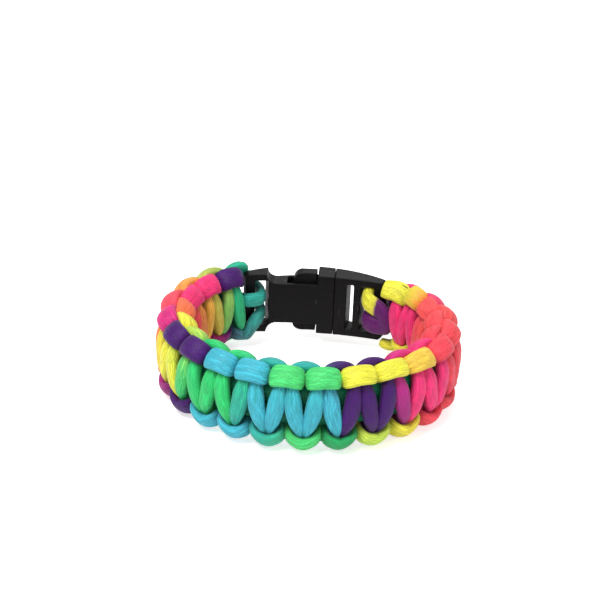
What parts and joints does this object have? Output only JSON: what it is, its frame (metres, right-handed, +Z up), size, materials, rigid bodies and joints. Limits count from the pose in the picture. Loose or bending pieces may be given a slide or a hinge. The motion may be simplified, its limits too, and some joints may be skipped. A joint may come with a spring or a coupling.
{
  "type": "paracord bracelet",
  "caption": "Closed knotted cord bracelet of rainbow-dyed cord, square-knotted over a core, with a curved black side-release buckle at the back",
  "frame": {"origin": "centre of the bounding box, on the surface that the lower edge of the band rests on", "axes": "X along the buckle with the plug to +X and the socket to -X, Y from the front of the band to the buckle at the back, Z up through the wrist opening"},
  "size_m": [0.0764, 0.0619, 0.0206],
  "materials": {
    "core_cord": "violet braided nylon cord",
    "face_cord": "rainbow-dyed braided nylon cord, soft satin sheen",
    "edge_cord": "rainbow-dyed braided nylon cord, soft satin sheen",
    "buckle_plastic": "black moulded plastic, fine matte texture"
  },
  "bodies": {
    "root": {"core_cord": "core_cord", "face_strand": "face_cord", "edge_strand": "edge_cord", "buckle_socket": "buckle_plastic", "buckle_plug": "buckle_plastic"}
  },
  "joints": []
}
